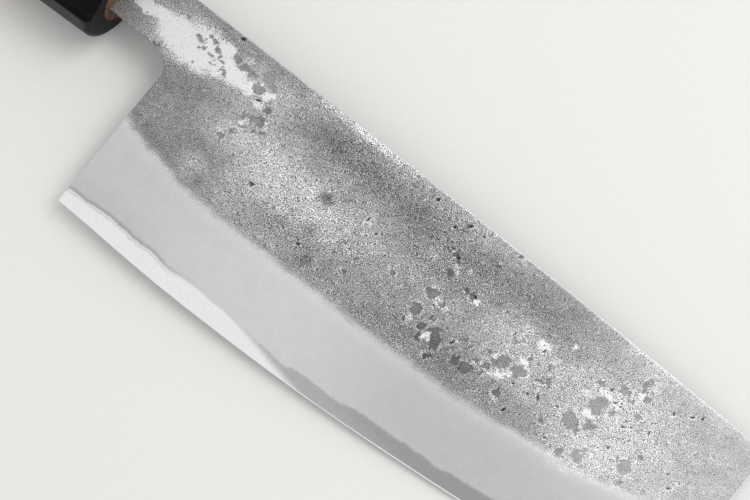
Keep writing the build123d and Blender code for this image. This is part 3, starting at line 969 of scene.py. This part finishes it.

# %% [markdown]
# Each mark covers the skin with its own tone, and the speckle frays its border, so that none
# ends in a line. A flake bed is darker, and darkest at its border, where a painted shade lies
# along its step, and a pit is darkest of all, because little light comes back out.

# %% Cover the skin with its marks
BRIGHT_GREY = 0.875
FLAKE_DARKER, PIT_DARKER = 0.18, 0.34
FLAKE_BORDER, STEP_SHADE_REACH, STEP_SHADE_DEPTH = 0.45, 0.35, 0.08
# Painted shade along a flake bed's step: the bed is darkest at its border and paler inside.
from_border = add(tree, "Math", {0: mark["flake"], 1: FLAKE_BORDER}, operation="SUBTRACT")
from_border = add(tree, "Math", {0: from_border}, operation="ABSOLUTE")
inside = add(tree, "MapRange", {"Value": from_border, "From Min": 0.0, "From Max": STEP_SHADE_REACH}, **STEP)
flake_tone = add(tree, "Math", {0: base_tone, 1: FLAKE_DARKER}, operation="SUBTRACT")
flake_tone = add(tree, "Math", {0: inside, 1: STEP_SHADE_DEPTH, 2: flake_tone}, **SUM)
pit_tone = add(tree, "Math", {0: base_tone, 1: PIT_DARKER}, operation="SUBTRACT")
COVERS = (
    # mark, its gain, fraying, where it starts and is full, its tone, and the speckle left on it
    ("bright", 1.5, 0.24, 0.25, 1.15, BRIGHT_GREY, 0.03),
    ("dark", 1.0, 0.30, 0.30, 0.80, FORGED_GREY - 0.06, 0.07),
    ("flake", 1.0, 0.18, 0.32, 0.58, flake_tone, 0.07),
    ("pit", 1.0, 0.20, 0.30, 0.80, pit_tone, 0.0),
)
for name, gain, fraying, start, full, tone, left in COVERS:
    cover = add(tree, "Math", {0: mark[name], 1: gain}, operation="MULTIPLY")
    cover = add(tree, "Math", {0: speckle, 1: fraying, 2: cover}, **SUM)
    cover = add(tree, "MapRange", {"Value": cover, "From Min": start, "From Max": full}, **STEP)
    tone = add(tree, "Math", {0: speckle, 1: left, 2: tone}, **SUM)
    skin_tone = add(tree, "Mix", {0: cover, 2: skin_tone, 3: tone})
print("with its marks the skin takes", len(tree.nodes), "nodes")

# %% [markdown]
# The bevel is nearly even, and a little paler towards the grind line. The wheel leaves faint
# scratches across the edge. Real ones are too fine to show, so they are drawn at 0.3 mm.

# %% Tone of the ground bevel
GROUND_GREY = 0.825
GRIT_SIZE, GRIT_STRETCH, GRIT_TONE = 0.3, 0.06, 0.010
stretched = add(tree, "Mapping", {"Vector": place, "Scale": (1.0, GRIT_STRETCH, 1.0)})
grit = add(tree, "TexNoise", {"Vector": stretched, "Scale": per_mm(GRIT_SIZE), "Detail": 2.0})
ground_tone = add(
    tree, "MapRange",
    {"Value": grit, **MOST_NOISE, "To Min": GROUND_GREY - GRIT_TONE, "To Max": GROUND_GREY + GRIT_TONE},
    clamp=False,
)
near_grind = add(tree, "MapRange", {"Value": mark["above_grind"], "From Min": -3.5, "From Max": 0.0}, **STEP)
# The bevel mark adds its painted reflection; the mottle and the grind line's nearness add a little tone.
for part, share in ((mark["bevel"], 1.0), (pattern["mottle"], 0.008), (near_grind, 0.03)):
    ground_tone = add(tree, "Math", {0: part, 1: share, 2: ground_tone}, **SUM)
print("the bevel's grey is", GROUND_GREY)

# %% [markdown]
# Below the seam the iron runs out over the core. Near the heel it stays as a pale strip under
# a soft dark line, and further on it takes the core's tone, with its painted reflection.

# %% The strip below the seam
STRIP_GREY = 0.90
STRIP_FULL, STRIP_GONE = 0.014, 0.032
LINE_DARK, LINE_WIDTH = 0.13, 1.1
seam = mark["above_seam"]
for part, reach in ((speckle, 0.10), (pattern["mottle"], 0.15)):
    seam = add(tree, "Math", {0: part, 1: reach, 2: seam}, **SUM)
knife_x = add(tree, "SeparateXYZ", {0: place}).outputs[0]
near_heel, line = (
    add(
        tree, "MapRange",
        {"Value": value, "From Min": start, "From Max": end, "To Min": most, "To Max": 0.0}, **STEP,
    )
    for value, start, end, most in (
        (knife_x, STRIP_FULL, STRIP_GONE, 1.0), (seam, 0.0, LINE_WIDTH, LINE_DARK),
    )
)
line = add(tree, "Math", {0: line, 1: near_heel}, operation="MULTIPLY")
ground_tone = add(tree, "Math", {0: ground_tone, 1: line}, operation="SUBTRACT")
strip_tone = add(tree, "Mix", {0: near_heel, 2: painted_steel_reflection(tree, place), 3: STRIP_GREY})
strip_tone = add(tree, "Math", {0: speckle, 1: 0.03, 2: strip_tone}, **SUM)
further_on, at_heel = (
    add(tree, "MapRange", {"Value": seam, "From Min": low, "From Max": high}, **STEP)
    for low, high in ((-0.45, 0.35), (-0.15, 0.05))
)
over_seam = add(tree, "Mix", {0: near_heel, 2: further_on, 3: at_heel})
ground_tone = add(tree, "Mix", {0: over_seam, 2: strip_tone, 3: ground_tone})
print("the pale strip fades over", round((STRIP_GONE - STRIP_FULL) / MM), "mm")

# %% [markdown]
# The change from forged to ground isn't a clean line, because the wheel only just touches the
# hollows, so noise frays it. Worn borders are bare metal, and along the spine their brightness
# is partly a painted highlight. The skin is rougher than the bevel, because scale scatters
# light, and only the skin gets a bump.

# %% Put the iron together
WORN_AND_HIGHLIGHT_GREY = 0.78
GROUND_ROUGH, FORGED_ROUGH = 0.36, 0.52
frayed = mark["above_grind"]
for part, reach in ((pattern["mottle"], 0.5), (speckle, 0.8)):
    frayed = add(tree, "Math", {0: part, 1: reach, 2: frayed}, **SUM)
forged = add(tree, "MapRange", {"Value": frayed, "From Min": -0.5, "From Max": 1.0}, **STEP)
iron_tone = add(tree, "Mix", {0: forged, 2: ground_tone, 3: skin_tone})
worn_and_highlight_tone = add(tree, "Math", {0: pattern["grain"], 1: 0.03, 2: WORN_AND_HIGHLIGHT_GREY}, **SUM)
iron_tone = add(tree, "Mix", {0: mark["worn_and_highlight"], 2: iron_tone, 3: worn_and_highlight_tone})
iron_rough = add(tree, "Mix", {0: forged, 2: GROUND_ROUGH, 3: FORGED_ROUGH})
bump_height = add(tree, "Math", {0: speckle, 1: forged}, operation="MULTIPLY")
bump = add(tree, "Bump", {"Height": bump_height, "Strength": 0.4, "Distance": 0.02 * MM})
shader = add(
    tree, "BsdfPrincipled",
    {"Base Color": grey_metal(tree, iron_tone), "Metallic": 1.0, "Roughness": iron_rough, "Normal": bump},
)
add(tree, "OutputMaterial", {"Surface": shader})
for piece, node in ((right_iron, "right_cladding"), (left_iron, "left_cladding")):
    piece.data.materials.append(iron)
    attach(piece, "root")
    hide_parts(node)
print(iron.name, "has", len(tree.nodes), "nodes")

# %% [markdown]
# ## The steel core
# High-carbon steel takes a bright polish from the stones that sharpen it. The fine scratches
# run across the edge, drawn coarser at 0.3 mm. The last strokes hone a hair-wide line along
# the edge, which a painted highlight makes nearly white. It lies where the blade is thinnest,
# so the height over its middle tells the place.

# %% The core's material
SCRATCH_SIZE, SCRATCH_STRETCH = 0.3, 0.08
HONED_HIGHLIGHT_FROM, HONED_HIGHLIGHT_TO, HONED_HIGHLIGHT_GREY = 0.108, 0.118, 0.99
core_steel, tree, place = new_material("stone_ground_carbon_steel")
stretched = add(tree, "Mapping", {"Vector": place, "Scale": (1.0, SCRATCH_STRETCH, 1.0)})
scratches = add(tree, "TexNoise", {"Vector": stretched, "Scale": per_mm(SCRATCH_SIZE), "Detail": 3.0})
streaks = add(tree, "MapRange", {"Value": scratches, **MOST_NOISE, "To Min": -0.02, "To Max": 0.02})
# The core's tone carries the painted reflection: nearly white at the heel, grey further on.
tone = add(tree, "Math", {0: painted_steel_reflection(tree, place), 1: streaks}, operation="ADD")
from_middle = add(tree, "VectorMath", {0: place, 1: blade_middle}, operation="SUBTRACT")
height = add(tree, "VectorMath", {0: from_middle, 1: across}, operation="DOT_PRODUCT")
height = add(tree, "Math", {0: height}, operation="ABSOLUTE")
# Painted highlight: the hair-wide band that the last strokes hone along the edge is made nearly white.
honed_highlight = add(
    tree, "MapRange",
    {"Value": height, "From Min": HONED_HIGHLIGHT_FROM * MM, "From Max": HONED_HIGHLIGHT_TO * MM, "To Min": 1.0, "To Max": 0.0},
)
tone = add(tree, "Mix", {0: honed_highlight, 2: tone, 3: HONED_HIGHLIGHT_GREY})
bump = add(tree, "Bump", {"Height": scratches, "Strength": 0.1, "Distance": 0.02 * MM})
shader = add(
    tree, "BsdfPrincipled",
    {"Base Color": grey_metal(tree, tone), "Metallic": 1.0, "Roughness": 0.30, "Normal": bump},
)
add(tree, "OutputMaterial", {"Surface": shader})
dress("blade_core", core_steel)

# %% [markdown]
# ## Polished black horn
# Buffalo horn is keratin, like a fingernail. Sawn, turned and buffed, it is deep black with
# faint brown streaks along its length and an even gloss. Its level of reflection is kept low,
# because the pale room would otherwise turn its steep sides grey.

# %% The collar's material
STREAK_SIZE, STREAK_STRETCH, BUFF_SIZE = 1.6, 0.12, 0.5
horn, tree, place = new_material("polished_buffalo_horn")
stretched = add(tree, "Mapping", {"Vector": place, "Scale": (STREAK_STRETCH, 1.0, 1.0)})
streak = add(
    tree, "TexNoise", {"Vector": stretched, "Scale": per_mm(STREAK_SIZE), "Detail": 4.0, "Roughness": 0.6},
)
brown = add(tree, "MapRange", {"Value": streak, "From Min": 0.42, "From Max": 0.75})
colour = add(tree, "Mix", {0: brown, 6: linear("0B0A0E"), 7: linear("1F1716")}, **COLOURS)
buffed = add(tree, "TexNoise", {"Vector": place, "Scale": per_mm(BUFF_SIZE), "Detail": 3.0})
rough = add(tree, "MapRange", {"Value": buffed, **MOST_NOISE, "To Min": 0.20, "To Max": 0.32})
bump = add(tree, "Bump", {"Height": streak, "Strength": 0.12, "Distance": 0.08 * MM})
shader = add(
    tree, "BsdfPrincipled",
    {"Base Color": colour, "Roughness": rough, "IOR": 1.54, "Specular IOR Level": 0.05, "Normal": bump},
)
add(tree, "OutputMaterial", {"Surface": shader})
dress("ferrule", horn)

# %% [markdown]
# ## Magnolia wood
# Ho wood is light, pale and fine in grain, and only sanded, so it stays matt. Its streaks are
# growth rings round a pith that lies outside the handle, so the butt shows them as arcs. A
# wave texture draws the rings, and noise stretched along the handle draws the fibres, coarser
# than real ones.

# %% Rings and fibres of the wood
RING_WIDTH, RING_STRETCH = 2.6, 0.12
FIBRE_SIZE, FIBRE_STRETCH = 0.4, 0.05
PITH_SHIFT = (0.0, 0.012, 0.030)
WAVE_LENGTH = math.tau / 20
magnolia, tree, place = new_material("sanded_magnolia_wood")
round_pith = add(
    tree, "Mapping", {"Vector": place, "Location": PITH_SHIFT, "Scale": (RING_STRETCH, 1.0, 1.0)},
)
rings = add(
    tree, "TexWave",
    {"Vector": round_pith, "Scale": WAVE_LENGTH * per_mm(RING_WIDTH), "Distortion": 3.0, "Detail": 2.0,
     "Detail Scale": 0.5},
    wave_type="RINGS", rings_direction="X",
).outputs["Fac"]
late_wood = add(tree, "MapRange", {"Value": rings, "From Min": 0.1, "From Max": 1.0, "To Max": 0.8})
stretched = add(tree, "Mapping", {"Vector": place, "Scale": (FIBRE_STRETCH, 1.0, 1.0)})
fibre = add(
    tree, "TexNoise", {"Vector": stretched, "Scale": per_mm(FIBRE_SIZE), "Detail": 4.0, "Roughness": 0.65},
)
fibre_share = add(tree, "MapRange", {"Value": fibre, "From Min": 0.35, "From Max": 0.75, "To Max": 0.45})
colour = add(tree, "Mix", {0: late_wood, 6: linear("C9AB78"), 7: linear("B08F5A")}, **COLOURS)
colour = add(tree, "Mix", {0: fibre_share, 6: colour, 7: linear("8E7346")}, **COLOURS)
print("the wood's rings are", RING_WIDTH, "mm apart")

# %% [markdown]
# The tenon's end shows inside the collar's mouth. A painted shade makes it dark and blotchy
# there, as the recess between collar and blade lies in shade.

# %% Paint shade on the tenon's end and finish the wood
MOUTH_SHADE_FROM, MOUTH_SHADE_TO, SHADE_BLOTCH_SIZE = -0.030, -0.0245, 1.8
knife_x = add(tree, "SeparateXYZ", {0: place}).outputs[0]
# Painted shade: the wood near the collar's mouth turns dark and blotchy.
mouth_shade = add(tree, "MapRange", {"Value": knife_x, "From Min": MOUTH_SHADE_FROM, "From Max": MOUTH_SHADE_TO})
blotch = add(tree, "TexNoise", {"Vector": place, "Scale": per_mm(SHADE_BLOTCH_SIZE), "Detail": 4.0, "Roughness": 0.7})
blotch = add(tree, "MapRange", {"Value": blotch, "From Min": 0.40, "From Max": 0.60})
shaded_end_colour = add(tree, "Mix", {0: blotch, 6: linear("3E281C"), 7: linear("745636")}, **COLOURS)
colour = add(tree, "Mix", {0: mouth_shade, 6: colour, 7: shaded_end_colour}, **COLOURS)
bump = add(tree, "Bump", {"Height": fibre, "Strength": 0.3, "Distance": 0.1 * MM})
shader = add(tree, "BsdfPrincipled", {"Base Color": colour, "Roughness": 0.62, "IOR": 1.5, "Normal": bump})
add(tree, "OutputMaterial", {"Surface": shader})
dress("handle", magnolia)

# %% [markdown]
# ## Pine resin in the slot
# The slot is burnt into the wood with a hot tang and then filled, so that no water gets in.
# The filler is a brown, slightly glossy resin with specks of ash in it.

# %% The packing's material
ASH_SIZE = 0.9
resin, tree, place = new_material("brown_pine_resin")
ash = add(tree, "TexNoise", {"Vector": place, "Scale": per_mm(ASH_SIZE), "Detail": 4.0})
colour = add(tree, "Mix", {0: ash, 6: linear("3B2412"), 7: linear("6B4426")}, **COLOURS)
bump = add(tree, "Bump", {"Height": ash, "Strength": 0.4, "Distance": 0.2 * MM})
shader = add(tree, "BsdfPrincipled", {"Base Color": colour, "Roughness": 0.45, "IOR": 1.53, "Normal": bump})
add(tree, "OutputMaterial", {"Surface": shader})
dress("tang_packing", resin)

# %% [markdown]
# ## Table and light
# The table is a plain sheet of matt paper. Seen from above it fills the picture, and from
# low down its far border makes a horizon, as a wide table's would.

# %% Lay down the table
TABLE_HALF = 2.5
TOOTH_SIZE = 1.2
sheet = bmesh.new()
bmesh.ops.create_grid(sheet, x_segments=1, y_segments=1, size=TABLE_HALF)
table_mesh = bpy.data.meshes.new("table")
sheet.to_mesh(table_mesh)
sheet.free()
table = bpy.data.objects.new("table", table_mesh)
bpy.context.scene.collection.objects.link(table)
paper, tree, place = new_material("matt_pale_paper")
tooth = add(tree, "TexNoise", {"Vector": place, "Scale": per_mm(TOOTH_SIZE), "Detail": 3.0})
colour = add(tree, "Mix", {0: tooth, 6: linear("DADAD7"), 7: linear("E0E0DE")}, **COLOURS)
shader = add(tree, "BsdfPrincipled", {"Base Color": colour, "Roughness": 0.9})
add(tree, "OutputMaterial", {"Surface": shader})
table_mesh.materials.append(paper)
print("the table is", 2 * TABLE_HALF, "m wide")

# %% [markdown]
# One large soft lamp stands to the upper right of the picture, and the rest of the light is
# even and white. It is a little weaker than white paper in full light, so that polished steel
# doesn't turn blank where the lamp adds to it.

# %% Lamp and world
LAMP_PLACE = (0.36, 0.42, 0.80)
LAMP_SIZE = 0.5
LAMP_POWER = 4.2
WORLD_LEVEL = 0.80
lamp = bpy.data.objects.new("soft_lamp", bpy.data.lights.new("soft_lamp", "AREA"))
bpy.context.scene.collection.objects.link(lamp)
lamp.data.shape = "SQUARE"
lamp.data.size = LAMP_SIZE
lamp.data.energy = LAMP_POWER
lamp.location = LAMP_PLACE
lamp.rotation_euler = (Vector(LAMP_PLACE) - blade_middle).to_track_quat("Z", "Y").to_euler()

world = bpy.data.worlds.new("even_light")
bpy.context.scene.world = world
world.use_nodes = True
tree = world.node_tree
tree.nodes.clear()
sky = add(tree, "Background", {"Color": (1.0, 1.0, 1.0, 1.0), "Strength": WORLD_LEVEL})
add(tree, "OutputWorld", {"Surface": sky})
bpy.context.scene.view_settings.view_transform = "Standard"
print("lamp is", round((lamp.location - blade_middle).length, 2), "m from the blade")
